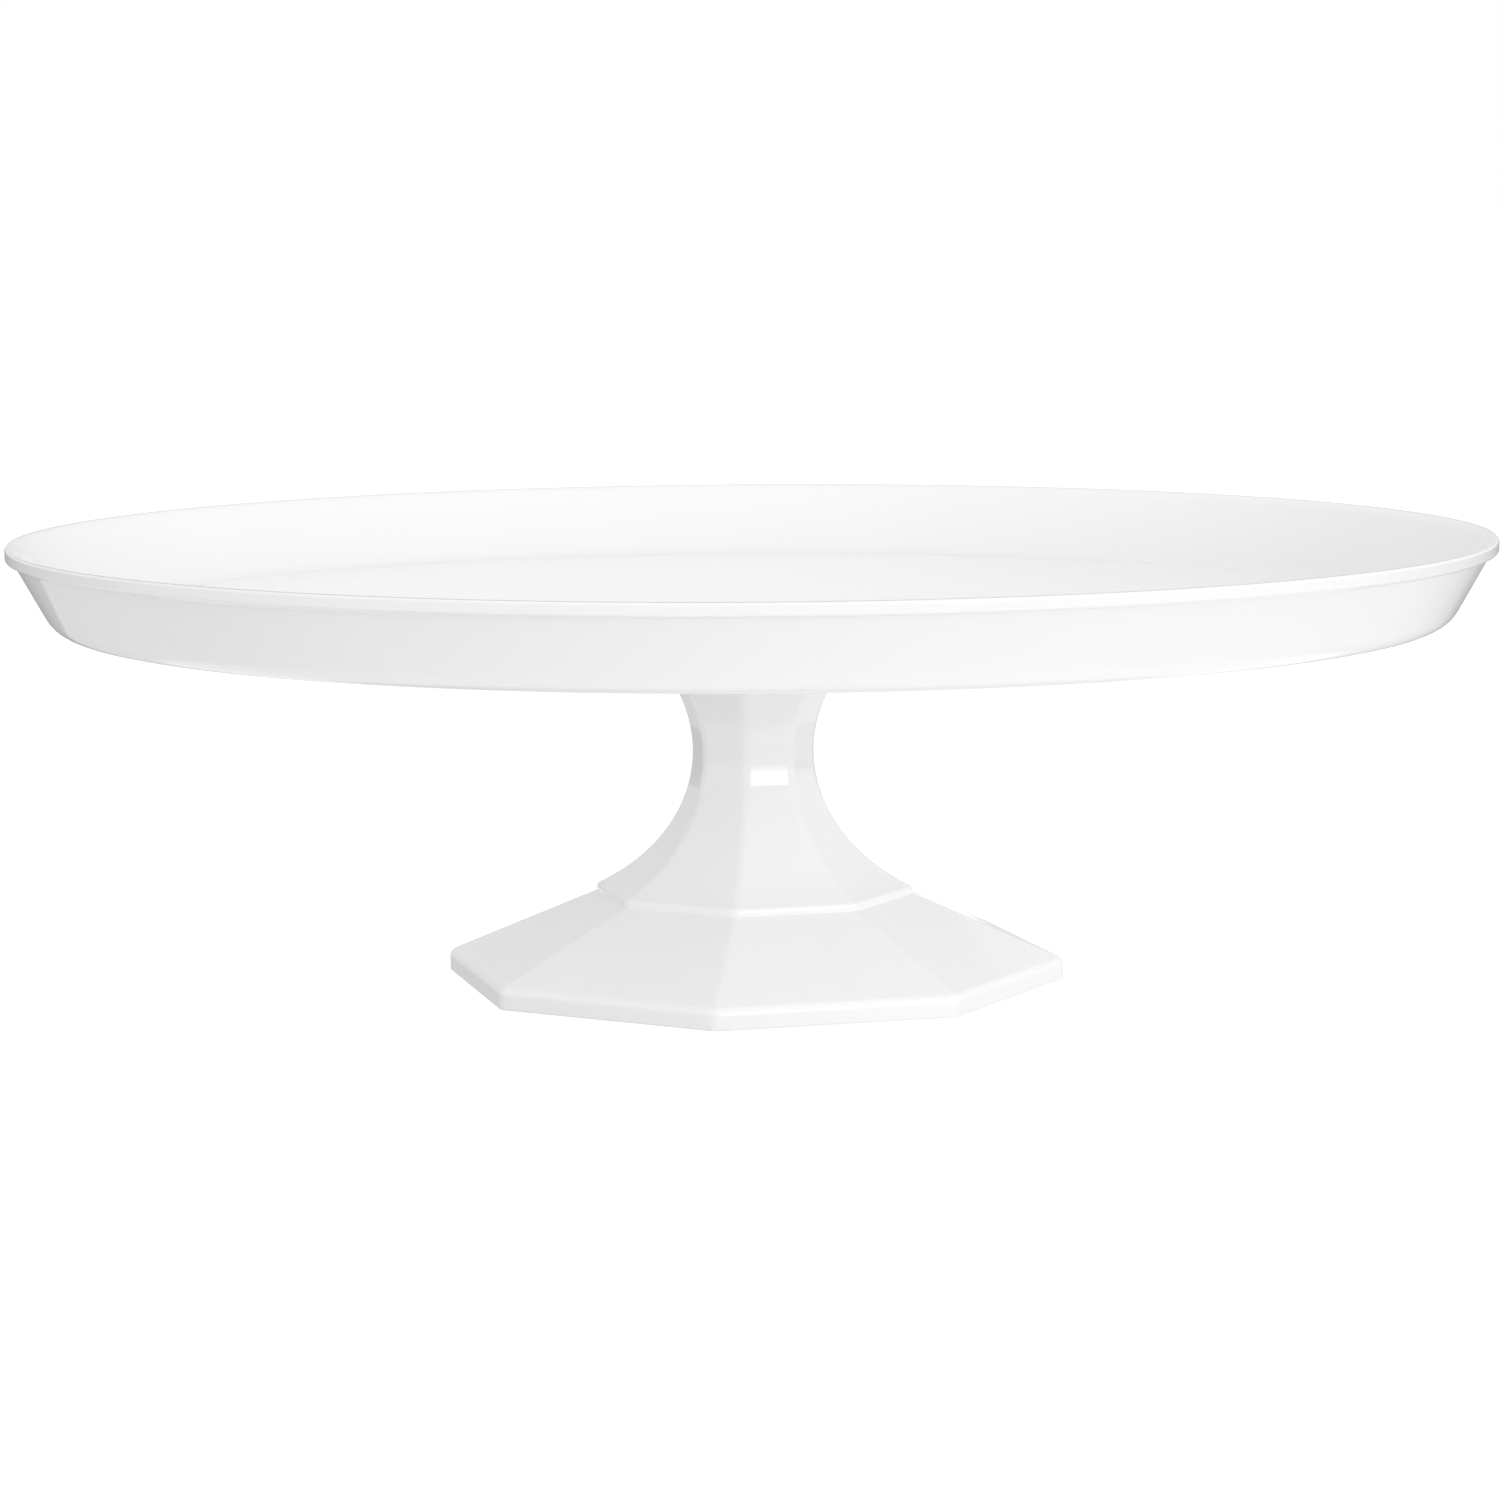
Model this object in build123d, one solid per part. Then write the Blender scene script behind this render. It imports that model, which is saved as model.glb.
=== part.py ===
from build123d import *
import math
import os

# Pedestal cake stand, moulded in two pieces: a round plate that plugs into an eight-sided pedestal.
# Millimetres, +Z up. The origin is the centre of the foot's underside, on the surface it stands on.
# The pedestal's corners lie on the X and Y axes and half way between them.
# A corner radius runs from the axis to a corner before it is rounded, and a flat radius to a flat.

sides = 8
half_side_angle = 180 / sides
flat_per_corner = math.cos(math.radians(half_side_angle))

# Heights
overall_height = 105.9
plate_underside = 85.9
step_bottom = 19.9
foot_edge_height = 4.7

# Walls
plate_wall = 2.0
pedestal_wall = 2.2

# Plate
rim_radius = 175.0
lip_height = 3.0
lip_overhang = 1.7
base_radius = 163.9
base_rounding = 7.2
floor_rounding = 4.0
lip_edge_rounding = 0.7
lip_crest_rounding = 3.4
lip_root_rounding = 1.8
lip_lower_rounding = 0.55

# Pedestal
foot_corner_radius = 74.4
foot_edge_rounding = 2.2
step_corner_radius = 38.3
step_rounding = 1.1
neck_corner_radius = 14.8
neck_height = 54.1
waist_corner_depth = 46.9
corner_rounding = 3.8
waist_half_height = 37.6
head_edge_height = 1.4

# Plug and socket that join the two pieces
socket_corner_radius = 20.0
socket_wall = 2.0
socket_bottom = 74.8
plug_gap = 0.15
plug_wall = 1.8
plug_depth = 9.0
plug_lead_in = 0.8
web_thickness = 1.6
web_drop = 1.0
cross_rib_thickness = 1.4
cross_rib_depth = 6.0

# How far a cutting body reaches past the surface that it cuts
overcut = 1.0

# How near to a corner's direction, in degrees, an edge along that corner lies
angle_tolerance = 0.1


def eight_sided(half_section):
    """Solid with eight equal sides. The section gives the flats' distance from the axis, in X and Z."""
    half = Plane.XZ * half_section
    whole = half + mirror(half, about=Plane.YZ)
    slab = extrude(whole, amount=2 * foot_corner_radius, both=True)
    slabs = [Rot(0, 0, half_side_angle + k * 360 / sides) * slab for k in range(sides // 2)]
    return slabs[0] & slabs[1] & slabs[2] & slabs[3]


def eight_sided_prism(corner_radius, low, high):
    """Upright eight-sided prism between two heights."""
    return Pos(0, 0, low) * extrude(RegularPolygon(corner_radius, sides), amount=high - low)


def runs_down_a_corner(edge):
    """True for an edge between two of the pedestal's sides, and false for one that runs round it."""
    middle = edge @ 0.5
    off_corner = math.degrees(math.atan2(middle.Y, middle.X)) % (2 * half_side_angle)
    return min(off_corner, 2 * half_side_angle - off_corner) < angle_tolerance


def waist_height(corner_radius):
    """Height below the neck at which the column's corners have widened to a radius."""
    widening = (corner_radius - neck_corner_radius) / waist_corner_depth
    return neck_height - waist_half_height * math.sqrt(1 - (1 - widening) ** 2)


def waist_flat_radius(height, inset):
    """Distance of the waisted column's flats from the axis, on a surface set in from the outer one."""
    centre = (neck_corner_radius + waist_corner_depth) * flat_per_corner
    reach = waist_corner_depth * flat_per_corner + inset
    half_height = waist_half_height + inset
    return centre - reach * math.sqrt(1 - ((height - neck_height) / half_height) ** 2)


def waist_curve(low, high, inset):
    """Elliptical side of the waisted column, drawn from its low end to its high end."""
    centre = (neck_corner_radius + waist_corner_depth) * flat_per_corner
    reach = waist_corner_depth * flat_per_corner + inset
    half_height = waist_half_height + inset
    low_angle = 180 + math.degrees(math.asin((neck_height - low) / half_height))
    high_angle = 180 - math.degrees(math.asin((high - neck_height) / half_height))
    turn = high_angle - low_angle
    return EllipticalCenterArc((centre, neck_height), reach, half_height, low_angle, arc_size=turn)


def pedestal_outside():
    """Solid outer form: upright foot edge, foot slope, step, waisted column and flared head."""
    foot_flat = foot_corner_radius * flat_per_corner
    step_flat = step_corner_radius * flat_per_corner
    step_top = waist_height(step_corner_radius)
    head_edge_low = plate_underside - head_edge_height
    head_flat = waist_flat_radius(head_edge_low, 0)
    foot = FilletPolyline(
        (0, 0),
        (foot_flat, 0),
        (foot_flat, foot_edge_height),
        (step_flat, step_bottom),
        (step_flat, step_top),
        radius=[0, foot_edge_rounding, 0],
    )
    waist = waist_curve(step_top, head_edge_low, 0)
    head = Polyline(
        (head_flat, head_edge_low),
        (head_flat, plate_underside),
        (0, plate_underside),
        (0, 0),
    )
    section = make_face(foot.edges() + waist.edges() + head.edges())
    step_corner = section.vertices().sort_by_distance((step_flat, step_top))[0]
    outside = eight_sided(fillet(step_corner, step_rounding))
    return fillet(outside.edges().filter_by(runs_down_a_corner), corner_rounding)


def pedestal_hollow():
    """Space inside the pedestal, open below the foot and above the head."""
    outer_foot_flat = foot_corner_radius * flat_per_corner
    foot_flat = outer_foot_flat - pedestal_wall
    step_top = waist_height(step_corner_radius)
    step_flat = waist_flat_radius(step_top, pedestal_wall)
    slope_run = outer_foot_flat - step_corner_radius * flat_per_corner
    slope_rise = step_bottom - foot_edge_height
    slope_drop = pedestal_wall * math.hypot(slope_run, slope_rise) / slope_run
    slope_top = step_bottom - slope_drop
    step_low = slope_top + (step_corner_radius * flat_per_corner - step_flat) * slope_rise / slope_run
    slope_low = slope_top - (foot_flat - step_corner_radius * flat_per_corner) * slope_rise / slope_run
    head_flat = waist_flat_radius(plate_underside, pedestal_wall)
    foot = Polyline(
        (0, -overcut),
        (foot_flat, -overcut),
        (foot_flat, slope_low),
        (step_flat, step_low),
        (step_flat, step_top),
    )
    waist = waist_curve(step_top, plate_underside, pedestal_wall)
    head = Polyline(
        (head_flat, plate_underside),
        (head_flat, plate_underside + overcut),
        (0, plate_underside + overcut),
        (0, -overcut),
    )
    return eight_sided(make_face(foot.edges() + waist.edges() + head.edges()))


def head_socket():
    """Eight-sided sleeve inside the head, with a web from each of its sides out to the flare."""
    outer_corner_radius = socket_corner_radius + socket_wall
    sleeve = eight_sided_prism(outer_corner_radius, socket_bottom, plate_underside)
    sleeve -= eight_sided_prism(socket_corner_radius, socket_bottom, plate_underside)
    web_start = (socket_corner_radius + socket_wall / 2) * flat_per_corner
    web_end = waist_flat_radius(plate_underside, pedestal_wall / 2)
    web_height = plate_underside - web_drop - socket_bottom
    web = Pos((web_start + web_end) / 2, 0, socket_bottom + web_height / 2) * Box(
        web_end - web_start, web_thickness, web_height
    )
    for k in range(sides):
        sleeve += Rot(0, 0, half_side_angle + k * 360 / sides) * web
    return sleeve


def make_pedestal():
    """Hollow pedestal with the plate's socket in its head."""
    outside = pedestal_outside()
    return (outside - pedestal_hollow()) + (head_socket() & outside)


def plate_dish():
    """Round dish: flat floor, slanted wall and a lip that overhangs the wall."""
    lip_bottom = overall_height - lip_height
    floor_top = plate_underside + plate_wall
    wall_top_radius = rim_radius - lip_overhang
    slant = (wall_top_radius - base_radius) / (lip_bottom - plate_underside)
    wall_across = plate_wall * math.hypot(1, slant)
    crest_radius = base_radius - wall_across + slant * (overall_height - plate_underside)
    floor_radius = base_radius - wall_across + slant * plate_wall
    section = FilletPolyline(
        (0, plate_underside),
        (base_radius, plate_underside),
        (wall_top_radius, lip_bottom),
        (rim_radius, lip_bottom),
        (rim_radius, overall_height),
        (crest_radius, overall_height),
        (floor_radius, floor_top),
        (0, floor_top),
        radius=[
            base_rounding,
            lip_root_rounding,
            lip_lower_rounding,
            lip_edge_rounding,
            lip_crest_rounding,
            floor_rounding,
        ],
    )
    axis_side = Line((0, floor_top), (0, plate_underside))
    return revolve(Plane.XZ * make_face(section.edges() + axis_side.edges()), axis=Axis.Z)


def plate_plug():
    """Eight-sided plug under the plate's floor, hollow, with two crossed ribs inside."""
    corner_radius = socket_corner_radius - plug_gap / flat_per_corner
    bottom = plate_underside - plug_depth
    plug = eight_sided_prism(corner_radius, bottom, plate_underside)
    plug = chamfer(plug.faces().sort_by(Axis.Z)[0].edges(), plug_lead_in)
    plug -= eight_sided_prism(corner_radius - plug_wall, bottom, plate_underside)
    rib_length = 2 * (corner_radius - plug_wall / 2) * flat_per_corner
    rib = Pos(0, 0, plate_underside - cross_rib_depth / 2) * Box(
        rib_length, cross_rib_thickness, cross_rib_depth
    )
    for turn in (half_side_angle, half_side_angle + 90):
        plug += Rot(0, 0, turn) * rib
    return plug


def make_plate():
    """Plate with its plug."""
    return plate_dish() + plate_plug()


os.makedirs("parts", exist_ok=True)
export_step(make_pedestal(), "parts/pedestal.step")
export_step(make_plate(), "parts/plate.step")
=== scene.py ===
import math

import bmesh
import bpy
from mathutils import Matrix, Vector


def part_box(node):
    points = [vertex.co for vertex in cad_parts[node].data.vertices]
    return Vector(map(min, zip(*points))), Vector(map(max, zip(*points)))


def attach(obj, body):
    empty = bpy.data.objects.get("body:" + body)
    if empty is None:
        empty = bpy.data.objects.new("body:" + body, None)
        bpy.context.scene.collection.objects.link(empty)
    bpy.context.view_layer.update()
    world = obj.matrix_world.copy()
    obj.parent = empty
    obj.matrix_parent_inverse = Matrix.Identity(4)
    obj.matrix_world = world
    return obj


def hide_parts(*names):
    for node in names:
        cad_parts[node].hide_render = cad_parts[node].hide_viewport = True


# White plastic pedestal cake stand: a round plate plugged onto a hollow eight-sided pedestal.
# Both mouldings are built here as fine meshes, in metres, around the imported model's bodies.

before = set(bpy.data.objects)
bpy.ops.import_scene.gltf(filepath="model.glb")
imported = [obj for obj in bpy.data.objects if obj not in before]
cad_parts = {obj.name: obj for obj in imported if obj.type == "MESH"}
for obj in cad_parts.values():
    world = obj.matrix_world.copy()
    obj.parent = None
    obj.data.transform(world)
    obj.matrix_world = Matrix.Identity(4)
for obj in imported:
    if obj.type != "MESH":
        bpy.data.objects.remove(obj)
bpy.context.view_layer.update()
plate_low, plate_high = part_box("plate")
pedestal_low, pedestal_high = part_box("pedestal")

mm = 0.001

# Places taken from the frame
rim_radius = plate_high.x
rim_top = plate_high.z
plug_bottom = plate_low.z
plate_underside = pedestal_high.z
foot_underside = pedestal_low.z

# Plate
plate_wall = 2.0 * mm
base_radius = 163.9 * mm
lip_height = 3.0 * mm
lip_overhang = 1.7 * mm
base_rounding = 7.2 * mm
floor_rounding = 4.0 * mm
lip_root_rounding = 1.8 * mm
lip_lower_rounding = 0.55 * mm
lip_edge_rounding = 0.7 * mm
lip_crest_rounding = 3.4 * mm

# Pedestal
sides = 8
half_side_angle = math.pi / sides
flat_per_corner = math.cos(half_side_angle)
pedestal_wall = 2.2 * mm
corner_rounding = 3.8 * mm
inner_corner_rounding = corner_rounding - pedestal_wall
foot_corner_radius = 74.4 * mm
foot_edge_height = 4.7 * mm
foot_edge_rounding = 2.2 * mm
step_corner_radius = 38.3 * mm
step_bottom = 19.9 * mm
step_rounding = 1.1 * mm
neck_corner_radius = 14.8 * mm
neck_height = 54.1 * mm
waist_corner_depth = 46.9 * mm
waist_half_height = 37.6 * mm
head_edge_height = 1.4 * mm
moulded_edge_rounding = 0.3 * mm
inner_bend_rounding = 1.0 * mm

# Plug and socket
socket_corner_radius = 20.0 * mm
socket_wall = 2.0 * mm
socket_bottom = 74.8 * mm
plug_gap = 0.15 * mm
plug_wall = 1.8 * mm
plug_lead_in = 0.8 * mm
plug_corner_rounding = 0.7 * mm
socket_corner_rounding = 0.5 * mm
plug_root = 1.0 * mm
web_thickness = 1.6 * mm
web_drop = 1.0 * mm
cross_rib_thickness = 1.4 * mm
cross_rib_depth = 6.0 * mm

# Fineness of the meshes
turned_segments = 360
corner_segments = 6
waist_segments = 48
web_segments = 8
arc_step = math.radians(9)
holding_distance = 0.25 * mm
least_corner_share = 0.4
sharp_angle = math.radians(35)
on_axis = 0.001 * mm
bevel_segments = 2
plane_segments = 8

# Plastic: each noise as waves per metre and detail, each relief's height, and the range of polish
plastic_tints = ((0.91, 0.91, 0.907, 1), (0.93, 0.93, 0.928, 1))
plastic_refraction = 1.5
tint_noise = (18, 3)
polish_noise = (70, 4)
polish_range = (0.035, 0.09)
wave_noise = (28, 1)
wave_height = 0.03 * mm
grain_noise = (900, 2)
grain_height = 0.001 * mm

# Camera: level distance from the stand's axis, height above the foot's underside, angle round the
# stand, turn away from its axis, pitch and roll
camera_distance = 1.04899
camera_height = 0.18768
camera_azimuth = math.radians(6.9)
camera_turn = math.radians(0.04)
camera_pitch = math.radians(7.2564)
camera_roll = math.radians(-0.37)
camera_lens = 106.283
camera_sensor = 36.0

# Studio: level angles are counted from the camera, positive to its right
key_side = math.radians(18)
key_level = 1.31
far_side_level = 0.74
overhead_level = 0.905
glow_top = math.sin(math.radians(42))
softbox_side = math.radians(32)
softbox_low = math.radians(2)
softbox_high = math.radians(22)
softbox_half_spread = math.radians(9)
softbox_distance = 2.2
softbox_level = 4.7

# Floor, as the camera sees it
floor_half_size = 30
floor_base = (0.15, 0.15, 0.15, 1)
floor_glow = 0.92

# Table: how bright it is to the stand, on its left and on its right, near the foot, on a ring about it,
# on the open table and beyond its back edge
table_half_size = 12
table_drop = 1 * mm
table_foot_levels = (0.53, 0.79)
table_ring_levels = (1.08, 1.24)
table_open_levels = (0.66, 0.76)
table_beyond_levels = (0.32, 0.36)
table_ring_inner = 0.11
table_ring_outer = 0.21
table_ring_edge = 0.02
table_middle_half_width = 0.08
table_back_edge = 0.26
table_soft_edge_near = 0.05
table_soft_edge_far = 0.45


# Outlines


def corner_arc(before, corner, after, radius):
    """Points of the arc that rounds a corner between its neighbours, or the corner itself."""
    if not radius:
        return [corner]
    back = (before - corner).normalized()
    onward = (after - corner).normalized()
    half_angle = back.angle(onward) / 2
    centre = corner + (back + onward).normalized() * radius / math.sin(half_angle)
    turn = math.pi - 2 * half_angle
    if back.x * onward.y - back.y * onward.x > 0:
        turn = -turn
    steps = max(2, math.ceil(abs(turn) / arc_step))
    spoke = corner + back * radius / math.tan(half_angle) - centre
    return [centre + Matrix.Rotation(turn * step / steps, 2) @ spoke for step in range(steps + 1)]


def rounded(corners, radii):
    """Outline through corners, each rounded to its radius, with holding points on the straight runs."""
    outline = []
    for k, corner in enumerate(corners):
        after = corners[(k + 1) % len(corners)]
        arc = corner_arc(corners[k - 1], corner, after, radii[k])
        run = arc[0] - outline[-1] if outline else Vector((0, 0))
        if run.length > 3 * holding_distance:
            held = run.normalized() * holding_distance
            outline += [outline[-1] + held, arc[0] - held]
        outline += arc
    return outline


def round_ring(point):
    """Ring of points round the axis at an outline point's radius and height, or one point on the axis."""
    if point.x < on_axis:
        return [Vector((0, 0, point.y))]
    ring = []
    for k in range(turned_segments):
        angle = 2 * math.pi * k / turned_segments
        ring.append(Vector((point.x * math.cos(angle), point.x * math.sin(angle), point.y)))
    return ring


def eight_sided_ring(flat_radius, height, rounding):
    """Ring of points round an octagon with rounded corners, the first corner on the X axis."""
    ring = []
    for k in range(sides):
        corner_angle = 2 * half_side_angle * k
        reach = (flat_radius - rounding) / flat_per_corner
        centre = reach * Vector((math.cos(corner_angle), math.sin(corner_angle)))
        for step in range(-1, corner_segments + 2):
            on_arc = min(max(step, 0), corner_segments)
            angle = corner_angle + half_side_angle * (2 * on_arc / corner_segments - 1)
            point = centre + rounding * Vector((math.cos(angle), math.sin(angle)))
            point += (step - on_arc) * holding_distance * Vector((-math.sin(angle), math.cos(angle)))
            ring.append(Vector((point.x, point.y, height)))
    return ring


def eight_sided_rings(outline, rounding, follow_slope=True):
    """Octagonal rings along an outline. A corner's rounding, cut level, shrinks as the side slopes."""
    rings = []
    for k, point in enumerate(outline):
        along = outline[min(k + 1, len(outline) - 1)] - outline[max(k - 1, 0)]
        share = max(abs(along.normalized().y), least_corner_share) if follow_slope else 1
        rings.append(eight_sided_ring(point.x, point.y, rounding * share))
    return rings


# Meshes


def loft(name, rings, closed=False):
    """Mesh object skinned over rings of points. A ring of one point is a pole."""
    shape = bmesh.new()
    made = [[shape.verts.new(point) for point in ring] for ring in rings]
    pairs = list(zip(made, made[1:]))
    if closed:
        pairs.append((made[-1], made[0]))
    for low, high in pairs:
        for k in range(max(len(low), len(high))):
            after = k + 1
            face = [
                low[k % len(low)],
                low[after % len(low)],
                high[after % len(high)],
                high[k % len(high)],
            ]
            shape.faces.new(dict.fromkeys(face))
    return mesh_object(name, shape)


def slab(name, outline, thickness, turn):
    """Upright slab with an outline in X and Z and slightly rounded edges, turned about the axis."""
    shape = bmesh.new()
    near = [shape.verts.new((point.x, -thickness / 2, point.y)) for point in outline]
    far = [shape.verts.new((point.x, thickness / 2, point.y)) for point in outline]
    shape.faces.new(near)
    shape.faces.new(far)
    for k in range(len(outline)):
        shape.faces.new((near[k - 1], near[k], far[k], far[k - 1]))
    bmesh.ops.recalc_face_normals(shape, faces=shape.faces)
    bmesh.ops.bevel(
        shape,
        geom=[edge for edge in shape.edges if edge.calc_face_angle() > sharp_angle],
        offset=moulded_edge_rounding / 2,
        segments=bevel_segments,
        profile=0.5,
        affect="EDGES",
    )
    shape.transform(Matrix.Rotation(turn, 4, "Z"))
    return mesh_object(name, shape)


def mesh_object(name, shape):
    """Object with a finished bmesh as its mesh, faces turned outwards."""
    bmesh.ops.recalc_face_normals(shape, faces=shape.faces)
    mesh = bpy.data.meshes.new(name)
    shape.to_mesh(mesh)
    shape.free()
    made = bpy.data.objects.new(name, mesh)
    bpy.context.scene.collection.objects.link(made)
    return made


def united(base, additions):
    """Base with other solids joined onto it as one moulding."""
    for addition in additions:
        union = base.modifiers.new(addition.name, "BOOLEAN")
        union.operation = "UNION"
        union.solver = "EXACT"
        union.object = addition
    evaluated = base.evaluated_get(bpy.context.evaluated_depsgraph_get())
    mesh = bpy.data.meshes.new_from_object(evaluated)
    mesh.name = base.name
    base.modifiers.clear()
    base.data = mesh
    for addition in additions:
        bpy.data.objects.remove(addition)
    mesh.shade_smooth()
    mesh.set_sharp_from_angle(angle=sharp_angle)
    return base


# Plate


def plate_dish():
    """Round dish: flat floor, slanted wall and a lip that overhangs the wall."""
    lip_bottom = rim_top - lip_height
    floor_top = plate_underside + plate_wall
    wall_top_radius = rim_radius - lip_overhang
    slant = (wall_top_radius - base_radius) / (lip_bottom - plate_underside)
    wall_across = plate_wall * math.hypot(1, slant)
    crest_radius = base_radius - wall_across + slant * (rim_top - plate_underside)
    floor_radius = base_radius - wall_across + slant * plate_wall
    corners = [
        Vector((0, plate_underside)),
        Vector((base_radius, plate_underside)),
        Vector((wall_top_radius, lip_bottom)),
        Vector((rim_radius, lip_bottom)),
        Vector((rim_radius, rim_top)),
        Vector((crest_radius, rim_top)),
        Vector((floor_radius, floor_top)),
        Vector((0, floor_top)),
    ]
    radii = [
        0,
        base_rounding,
        lip_root_rounding,
        lip_lower_rounding,
        lip_edge_rounding,
        lip_crest_rounding,
        floor_rounding,
        0,
    ]
    return loft("cake_plate", [round_ring(point) for point in rounded(corners, radii)])


def plate_plug():
    """Eight-sided plug under the floor, with a lead-in at its lower edge."""
    outer = socket_corner_radius * flat_per_corner - plug_gap
    inner = outer - plug_wall
    root = plate_underside + plug_root
    corners = [
        Vector((outer, root)),
        Vector((outer, plug_bottom + plug_lead_in)),
        Vector((outer - plug_lead_in, plug_bottom)),
        Vector((inner, plug_bottom)),
        Vector((inner, root)),
    ]
    radii = [0, moulded_edge_rounding, moulded_edge_rounding / 2, moulded_edge_rounding, 0]
    rings = eight_sided_rings(rounded(corners, radii), plug_corner_rounding, follow_slope=False)
    return loft("plug", rings, closed=True)


def plate_ribs():
    """Two crossed ribs inside the plug."""
    half_length = socket_corner_radius * flat_per_corner - plug_gap - plug_wall / 2
    low = plate_underside - cross_rib_depth
    high = plate_underside + plug_root
    outline = [
        Vector((-half_length, low)),
        Vector((half_length, low)),
        Vector((half_length, high)),
        Vector((-half_length, high)),
    ]
    turns = [half_side_angle, half_side_angle + math.pi / 2]
    return [slab(f"rib_{k}", outline, cross_rib_thickness, turn) for k, turn in enumerate(turns)]


def make_plate():
    """The plate, one moulding with its plug and ribs."""
    return united(plate_dish(), [plate_plug(), *plate_ribs()])


# Pedestal


def waist_outline(low, high, inset, segments=waist_segments):
    """Points along the elliptical side of the column, from its low end to its high end."""
    centre = (neck_corner_radius + waist_corner_depth) * flat_per_corner
    reach = waist_corner_depth * flat_per_corner + inset
    half_height = waist_half_height + inset
    low_angle = math.asin((low - neck_height) / half_height)
    high_angle = math.asin((high - neck_height) / half_height)
    outline = []
    for k in range(segments + 1):
        angle = low_angle + (high_angle - low_angle) * k / segments
        radius = centre - reach * math.cos(angle)
        outline.append(Vector((radius, neck_height + half_height * math.sin(angle))))
    return outline


def step_top_height():
    """Height at which the column's corners have widened to the step's."""
    widening = (step_corner_radius - neck_corner_radius) / waist_corner_depth
    return neck_height - waist_half_height * math.sqrt(1 - (1 - widening) ** 2)


def pedestal_outside():
    """Outer outline, from the foot's underside up to the head."""
    foot_flat = foot_corner_radius * flat_per_corner
    step_flat = step_corner_radius * flat_per_corner
    head_edge_low = plate_underside - head_edge_height
    waist = waist_outline(step_top_height(), head_edge_low, 0)
    foot = [
        Vector((foot_flat - pedestal_wall / 2, foot_underside)),
        Vector((foot_flat, foot_underside)),
        Vector((foot_flat, foot_edge_height)),
        Vector((step_flat, step_bottom)),
    ]
    head = [
        Vector((waist[-1].x, plate_underside)),
        Vector((waist[-1].x - pedestal_wall / 2, plate_underside)),
    ]
    radii = [0, moulded_edge_rounding, foot_edge_rounding, moulded_edge_rounding, step_rounding]
    radii += [0] * (len(waist) - 1) + [moulded_edge_rounding, 0]
    return rounded(foot + waist + head, radii)


def pedestal_inside():
    """Outline of the hollow, from the foot's underside up to the head."""
    outer_foot_flat = foot_corner_radius * flat_per_corner
    outer_step_flat = step_corner_radius * flat_per_corner
    foot_flat = outer_foot_flat - pedestal_wall
    step_top = step_top_height()
    slope = (step_bottom - foot_edge_height) / (outer_foot_flat - outer_step_flat)
    slope_top = step_bottom - pedestal_wall * math.hypot(1, slope)
    waist = waist_outline(step_top, plate_underside, pedestal_wall)
    step_flat = waist[0].x
    foot = [
        Vector((foot_flat + pedestal_wall / 2, foot_underside)),
        Vector((foot_flat, foot_underside)),
        Vector((foot_flat, slope_top - (foot_flat - outer_step_flat) * slope)),
        Vector((step_flat, slope_top + (outer_step_flat - step_flat) * slope)),
    ]
    head = [Vector((waist[-1].x + pedestal_wall / 2, plate_underside))]
    radii = [0, moulded_edge_rounding, inner_bend_rounding, moulded_edge_rounding]
    radii += [0] * (len(waist) - 1) + [moulded_edge_rounding, 0]
    return rounded(foot + waist + head, radii)


def pedestal_shell():
    """Hollow eight-sided shell: upright foot edge, foot slope, step, waisted column and flared head."""
    outside = eight_sided_rings(pedestal_outside(), corner_rounding)
    inside = eight_sided_rings(pedestal_inside(), inner_corner_rounding)
    return loft("cake_pedestal", outside + inside[::-1], closed=True)


def socket_sleeve():
    """Eight-sided sleeve inside the head, which takes the plate's plug."""
    inner = socket_corner_radius * flat_per_corner
    outer = inner + socket_wall
    corners = [
        Vector((inner, socket_bottom)),
        Vector((outer, socket_bottom)),
        Vector((outer, plate_underside)),
        Vector((inner, plate_underside)),
    ]
    outline = rounded(corners, [moulded_edge_rounding] * len(corners))
    rings = eight_sided_rings(outline, socket_corner_rounding, follow_slope=False)
    return loft("sleeve", rings, closed=True)


def socket_webs():
    """A web from each side of the sleeve out to the flare, whose curve its outer end follows."""
    start = (socket_corner_radius + socket_wall / 2) * flat_per_corner
    low = socket_bottom + socket_wall
    high = plate_underside - web_drop
    flare = waist_outline(low, high, pedestal_wall / 2, web_segments)
    outline = [Vector((start, high)), Vector((start, low)), *flare]
    turns = [half_side_angle * (2 * k + 1) for k in range(sides)]
    return [slab(f"web_{k}", outline, web_thickness, turn) for k, turn in enumerate(turns)]


def make_pedestal():
    """The pedestal, one moulding with the plate's socket in its head."""
    return united(pedestal_shell(), [socket_sleeve(), *socket_webs()])


# Nodes


def new_node_tree(owner):
    """Nodes and links of a world or a material."""
    owner.use_nodes = True
    return owner.node_tree.nodes, owner.node_tree.links


def spread_between(tree, source, near, far, low, high, smooth=False):
    """Source spread from near and far to low and high, and held there outside them."""
    nodes, links = tree
    mapped = nodes.new("ShaderNodeMapRange")
    mapped.interpolation_type = "SMOOTHSTEP" if smooth else "LINEAR"
    mapped.inputs["From Min"].default_value = near
    mapped.inputs["From Max"].default_value = far
    mapped.inputs["To Min"].default_value = low
    mapped.inputs["To Max"].default_value = high
    links.new(source, mapped.inputs["Value"])
    return mapped.outputs["Result"]


def above(tree, source, limit):
    """1 where a source is above a limit, and 0 elsewhere."""
    nodes, links = tree
    compared = nodes.new("ShaderNodeMath")
    compared.operation = "GREATER_THAN"
    compared.inputs[1].default_value = limit
    links.new(source, compared.inputs[0])
    return compared.outputs["Value"]


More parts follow.
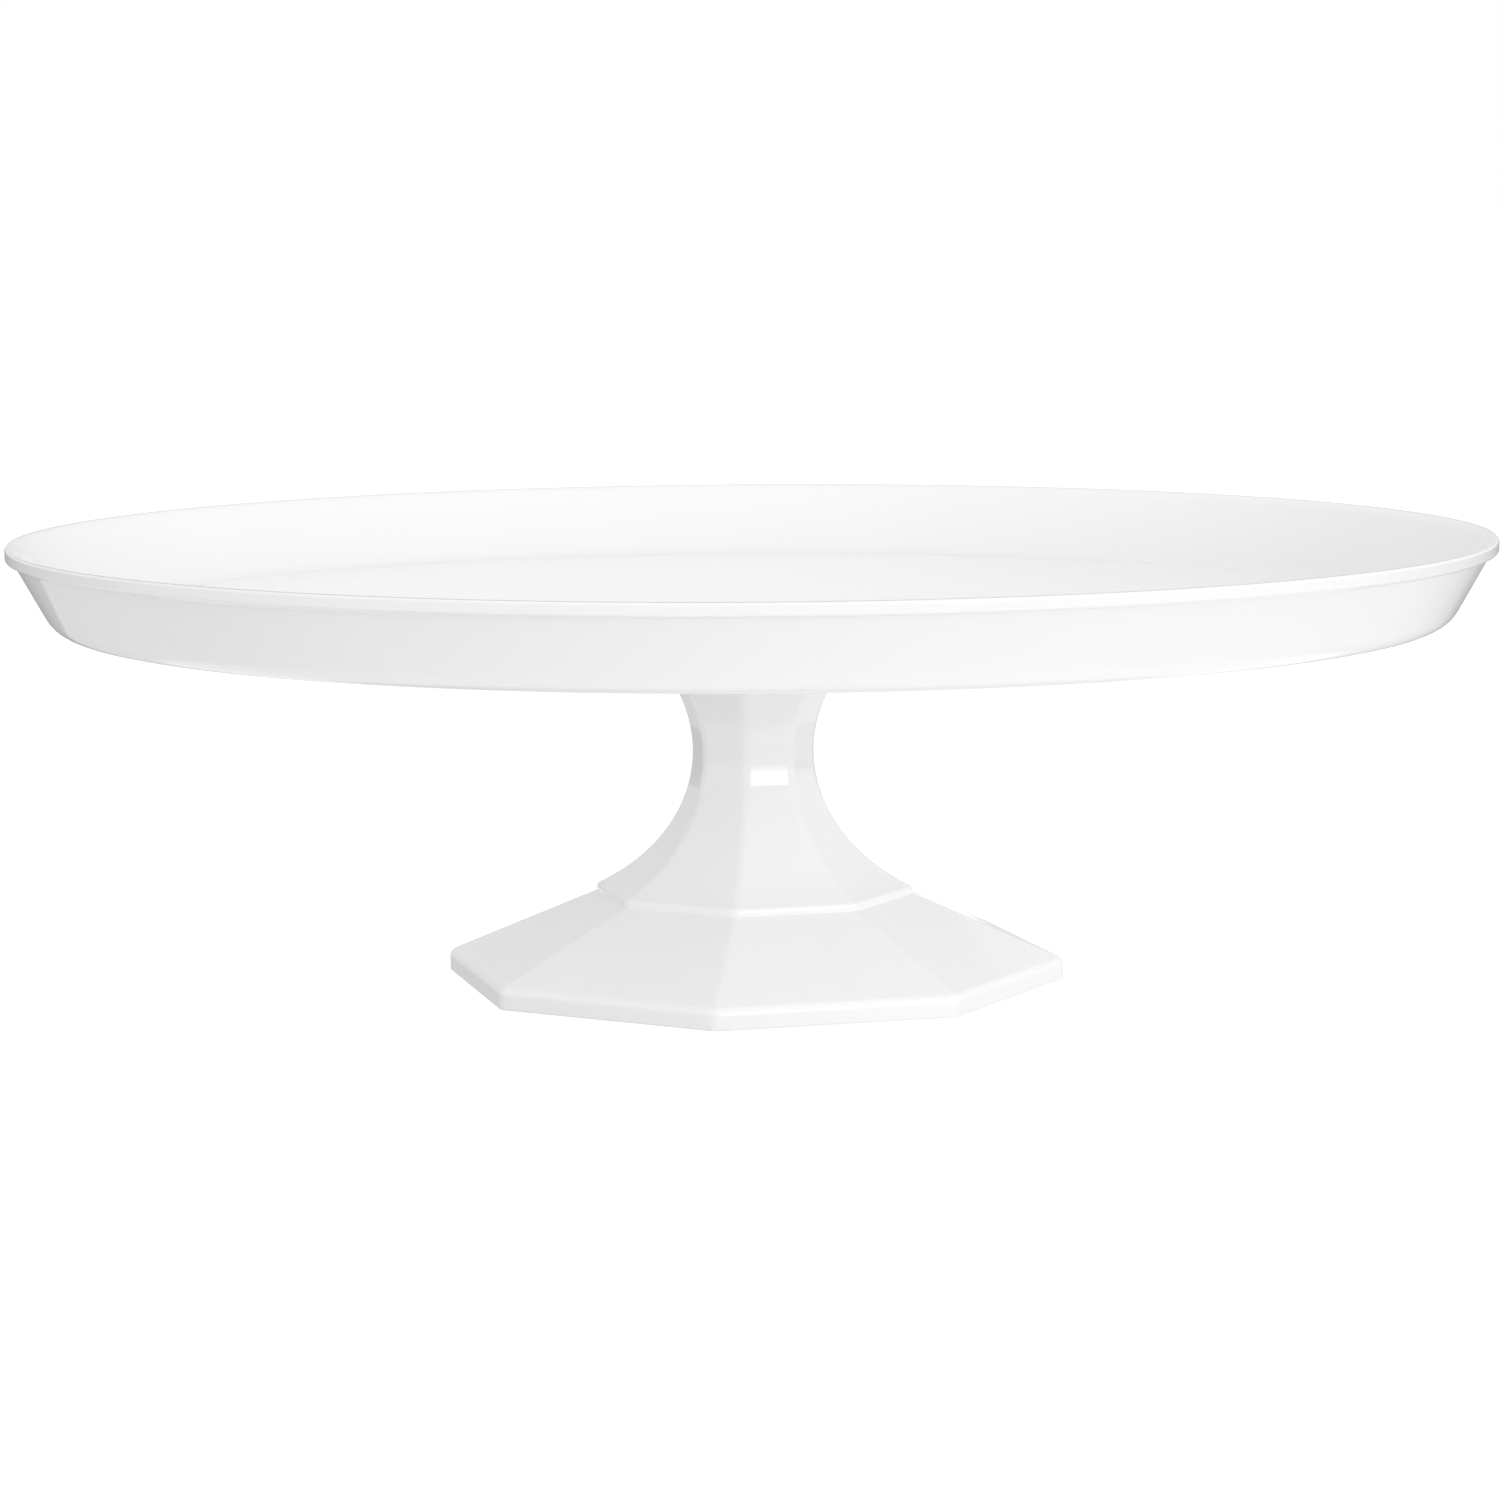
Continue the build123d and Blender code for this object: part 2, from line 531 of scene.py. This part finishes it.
def chosen(tree, factor, at_zero, at_one):
    """Level that goes from one source to another as a factor goes from 0 to 1."""
    nodes, links = tree
    mix = nodes.new("ShaderNodeMix")
    for socket, source in (("A", at_zero), ("B", at_one)):
        if isinstance(source, (int, float)):
            mix.inputs[socket].default_value = source
        else:
            links.new(source, mix.inputs[socket])
    links.new(factor, mix.inputs["Factor"])
    return mix.outputs["Result"]


def noise(tree, place, scale, detail):
    """Noise at a place, its scale in waves per metre."""
    nodes, links = tree
    texture = nodes.new("ShaderNodeTexNoise")
    texture.inputs["Scale"].default_value = scale
    texture.inputs["Detail"].default_value = detail
    links.new(place, texture.inputs["Vector"])
    return texture.outputs["Fac"]


def relief(tree, source, height, below=None):
    """Surface relief of a height in metres, on top of another relief."""
    nodes, links = tree
    bump = nodes.new("ShaderNodeBump")
    bump.inputs["Distance"].default_value = height
    links.new(source, bump.inputs["Height"])
    if below:
        links.new(below, bump.inputs["Normal"])
    return bump.outputs["Normal"]


def share_along(tree, direction, axis):
    """How far a unit direction points along an axis, from -1 to 1."""
    nodes, links = tree
    product = nodes.new("ShaderNodeVectorMath")
    product.operation = "DOT_PRODUCT"
    product.inputs[1].default_value = axis
    links.new(direction, product.inputs[0])
    return product.outputs["Value"]


# Material


def white_plastic():
    """Glossy moulded plastic: faint mottling, uneven polish, and a surface that is never quite flat."""
    material = bpy.data.materials.new("white_plastic")
    tree = new_node_tree(material)
    nodes, links = tree
    shader = nodes["Principled BSDF"]
    shader.inputs["IOR"].default_value = plastic_refraction
    place = nodes.new("ShaderNodeTexCoord").outputs["Object"]
    tint = nodes.new("ShaderNodeMix")
    tint.data_type = "RGBA"
    tint.inputs["A"].default_value, tint.inputs["B"].default_value = plastic_tints
    links.new(noise(tree, place, *tint_noise), tint.inputs["Factor"])
    links.new(tint.outputs["Result"], shader.inputs["Base Color"])
    polish = spread_between(tree, noise(tree, place, *polish_noise), 0, 1, *polish_range)
    links.new(polish, shader.inputs["Roughness"])
    waves = relief(tree, noise(tree, place, *wave_noise), wave_height)
    grain = relief(tree, noise(tree, place, *grain_noise), grain_height, waves)
    links.new(grain, shader.inputs["Normal"])
    return material


# Stage


def studio_direction(side, elevation=0.0):
    """Direction from the stand at a level angle from the camera, and at an elevation."""
    angle = camera_azimuth + side - math.pi / 2
    level = Vector((math.cos(angle), math.sin(angle), 0))
    return level * math.cos(elevation) + Vector((0, 0, math.sin(elevation)))


def plane(name, half_size, height):
    """Square level plane about the stand's axis."""
    shape = bmesh.new()
    place = Matrix.Translation((0, 0, height))
    bmesh.ops.create_grid(
        shape,
        x_segments=plane_segments,
        y_segments=plane_segments,
        size=half_size,
        matrix=place,
    )
    return mesh_object(name, shape)


def add_floor():
    """Wide pale floor that the stand rests on, as the camera sees it."""
    floor = plane("floor", floor_half_size, foot_underside)
    material = bpy.data.materials.new("floor_white")
    nodes, _ = new_node_tree(material)
    shader = nodes["Principled BSDF"]
    shader.inputs["Base Color"].default_value = floor_base
    shader.inputs["Roughness"].default_value = 1
    shader.inputs["Emission Color"].default_value = (1, 1, 1, 1)
    shader.inputs["Emission Strength"].default_value = floor_glow
    floor.data.materials.append(material)
    floor.visible_diffuse = False
    floor.visible_glossy = False
    floor.visible_shadow = False


def table_level(tree, place):
    """Brightness of the table at a place that is counted to the right and back from the stand."""
    nodes, links = tree
    length = nodes.new("ShaderNodeVectorMath")
    length.operation = "LENGTH"
    links.new(place, length.inputs[0])
    radius = length.outputs["Value"]
    parts = nodes.new("ShaderNodeSeparateXYZ")
    links.new(place, parts.inputs["Vector"])
    right, back = parts.outputs["X"], parts.outputs["Y"]
    side = table_middle_half_width
    rightwards = spread_between(tree, right, -side, side, 0, 1, smooth=True)
    foot = chosen(tree, rightwards, *table_foot_levels)
    ring = chosen(tree, rightwards, *table_ring_levels)
    open_table = chosen(tree, rightwards, *table_open_levels)
    beyond = chosen(tree, rightwards, *table_beyond_levels)
    inner_end = table_ring_inner + table_ring_edge
    outer_start = table_ring_outer - table_ring_edge
    past_foot = spread_between(tree, radius, table_ring_inner, inner_end, 0, 1)
    past_ring = spread_between(tree, radius, outer_start, table_ring_outer, 0, 1)
    near = chosen(tree, past_ring, chosen(tree, past_foot, foot, ring), open_table)
    sharp_edge = above(tree, back, table_back_edge)
    soft_edge = spread_between(tree, back, table_soft_edge_near, table_soft_edge_far, 0, 1)
    past_edge = chosen(tree, above(tree, right, 0), sharp_edge, soft_edge)
    return chosen(tree, past_edge, near, beyond)


def add_table_light():
    """Light that a table gives the stand: most in front and near it, little from past its back edge."""
    table = plane("table_light", table_half_size, foot_underside - table_drop)
    table.rotation_euler.z = camera_azimuth
    material = bpy.data.materials.new("table_light")
    tree = new_node_tree(material)
    nodes, links = tree
    nodes.clear()
    place = nodes.new("ShaderNodeTexCoord").outputs["Object"]
    emission = nodes.new("ShaderNodeEmission")
    links.new(table_level(tree, place), emission.inputs["Strength"])
    output = nodes.new("ShaderNodeOutputMaterial")
    links.new(emission.outputs["Emission"], output.inputs["Surface"])
    table.data.materials.append(material)
    table.visible_camera = False


def add_world():
    """White studio: plain white to the camera, and to the stand brightest low down on the key side."""
    world = bpy.data.worlds.new("studio")
    tree = new_node_tree(world)
    nodes, links = tree
    direction = nodes.new("ShaderNodeTexCoord").outputs["Generated"]
    keyward = share_along(tree, direction, studio_direction(key_side))
    upward = share_along(tree, direction, Vector((0, 0, 1)))
    low = spread_between(tree, keyward, -1, 1, far_side_level, key_level)
    height = spread_between(tree, upward, 0, glow_top, 0, 1, smooth=True)
    seen = nodes.new("ShaderNodeLightPath").outputs["Is Camera Ray"]
    level = chosen(tree, seen, chosen(tree, height, low, overhead_level), 1)
    background = nodes["Background"]
    background.inputs["Color"].default_value = (1, 1, 1, 1)
    links.new(level, background.inputs["Strength"])
    bpy.context.scene.world = world


def add_softbox():
    """Softbox at the camera's right, whose reflection stands in the column's neck."""
    middle = (softbox_low + softbox_high) / 2
    data = bpy.data.lights.new("softbox", "AREA")
    data.shape = "RECTANGLE"
    data.size = 2 * softbox_distance * math.tan(softbox_half_spread)
    data.size_y = 2 * softbox_distance * math.tan((softbox_high - softbox_low) / 2)
    data.energy = softbox_level * math.pi * data.size * data.size_y
    softbox = bpy.data.objects.new("softbox", data)
    bpy.context.scene.collection.objects.link(softbox)
    towards = studio_direction(softbox_side, middle)
    softbox.location = Vector((0, 0, neck_height)) + softbox_distance * towards
    softbox.rotation_euler = towards.to_track_quat("Z", "Y").to_euler()
    softbox.visible_camera = False


def add_camera():
    """Camera a little above the rim, looking slightly down at the stand."""
    data = bpy.data.cameras.new("camera")
    data.sensor_width = camera_sensor
    data.lens = camera_lens
    camera = bpy.data.objects.new("camera", data)
    bpy.context.scene.collection.objects.link(camera)
    bpy.context.scene.camera = camera
    place = Vector((0, -camera_distance, camera_height))
    aim = Matrix.Rotation(camera_turn, 4, "Z") @ Matrix.Rotation(math.pi / 2 - camera_pitch, 4, "X")
    aim = aim @ Matrix.Rotation(camera_roll, 4, "Z")
    round_stand = Matrix.Rotation(camera_azimuth, 4, "Z")
    camera.matrix_world = round_stand @ Matrix.Translation(place) @ aim


plate = make_plate()
pedestal = make_pedestal()
plastic = white_plastic()
for piece, node in ((plate, "plate"), (pedestal, "pedestal")):
    piece.data.materials.clear()
    piece.data.materials.append(plastic)
    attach(piece, node)
    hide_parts(node)

add_floor()
add_table_light()
add_world()
add_softbox()
add_camera()
bpy.context.scene.view_settings.view_transform = "Standard"
